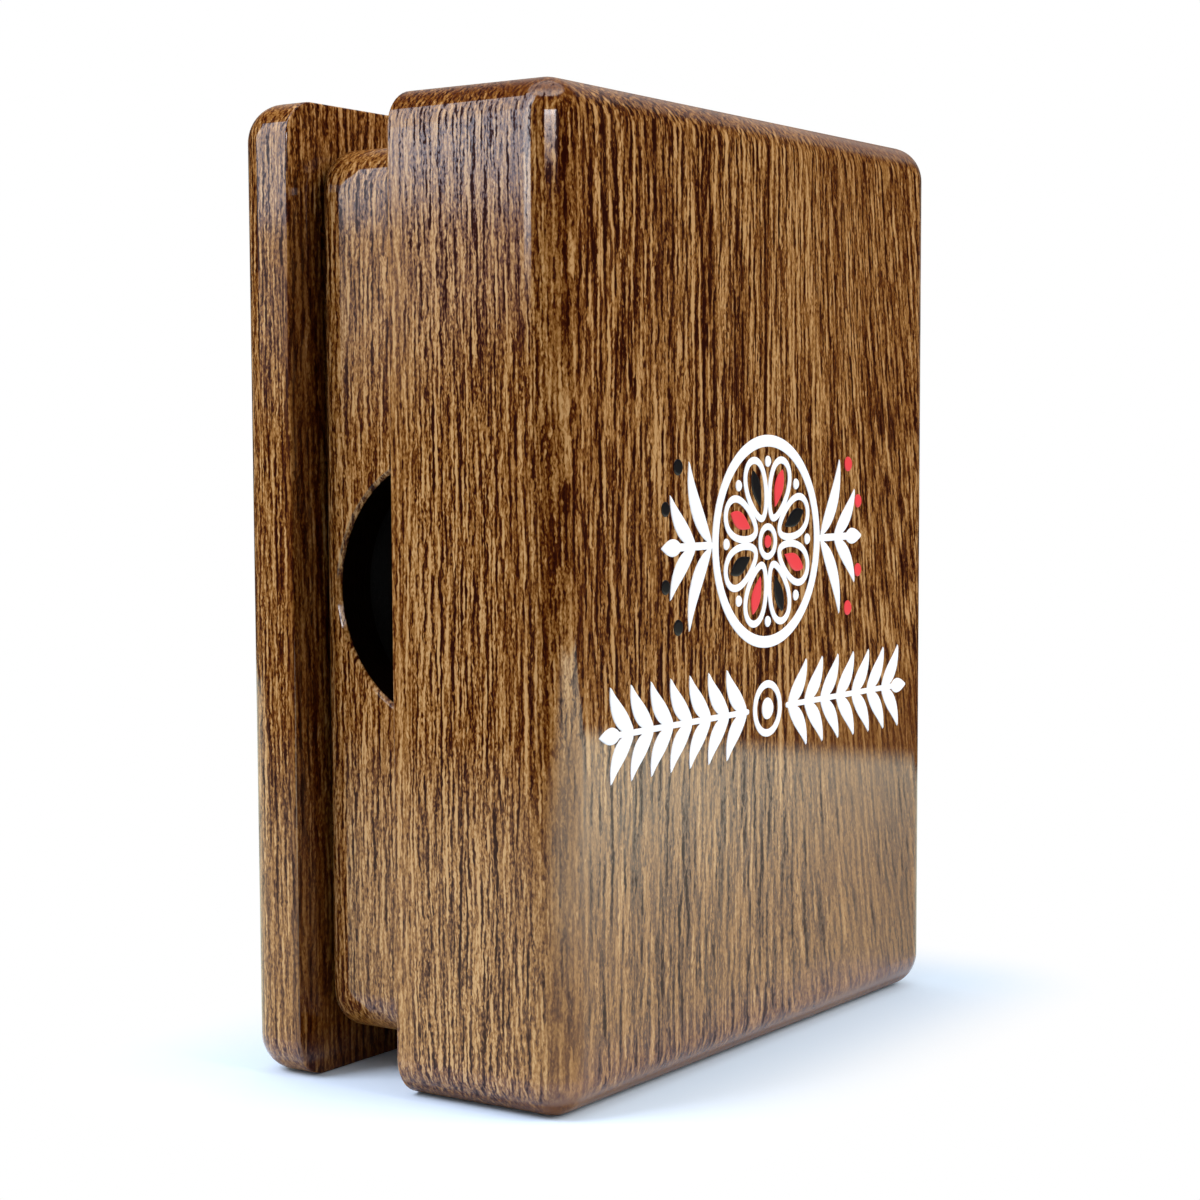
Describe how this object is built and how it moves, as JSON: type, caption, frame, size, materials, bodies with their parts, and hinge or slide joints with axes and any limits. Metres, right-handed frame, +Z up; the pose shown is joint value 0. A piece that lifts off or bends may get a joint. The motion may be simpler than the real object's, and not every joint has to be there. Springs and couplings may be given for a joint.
{
  "type": "playing card case",
  "caption": "Wooden case for a deck of cards: a felt-lined tray with finger notches on a back plate, and a hollowed lid with rounded edges that pulls off the tray.",
  "frame": {"origin": "on the ground under the middle of the standing case, open as at rest", "axes": "+Z up along the case's height and the wood's grain, -Y out of the lid's face, +X to the right of someone facing the lid"},
  "size_m": [0.0852, 0.0442, 0.1098],
  "materials": {
    "plate_wood": "brown stained oak under clear gloss lacquer, grain upright",
    "tray_wood": "brown stained oak under clear gloss lacquer, grain upright",
    "felt": "black felt, matt",
    "lid_wood": "brown stained oak under clear gloss lacquer, grain upright, with a small printed ornament on the face"
  },
  "bodies": {
    "base": {"back_plate": "plate_wood", "inner_tray": "tray_wood", "tray_lining": "felt"},
    "lid": {"lid": "lid_wood"}
  },
  "joints": [
    {"name": "lid_slide", "type": "slide", "parent": "base", "child": "lid", "axis": [0, -1, 0], "range_m": [-0.01395, 0.02]}
  ]
}
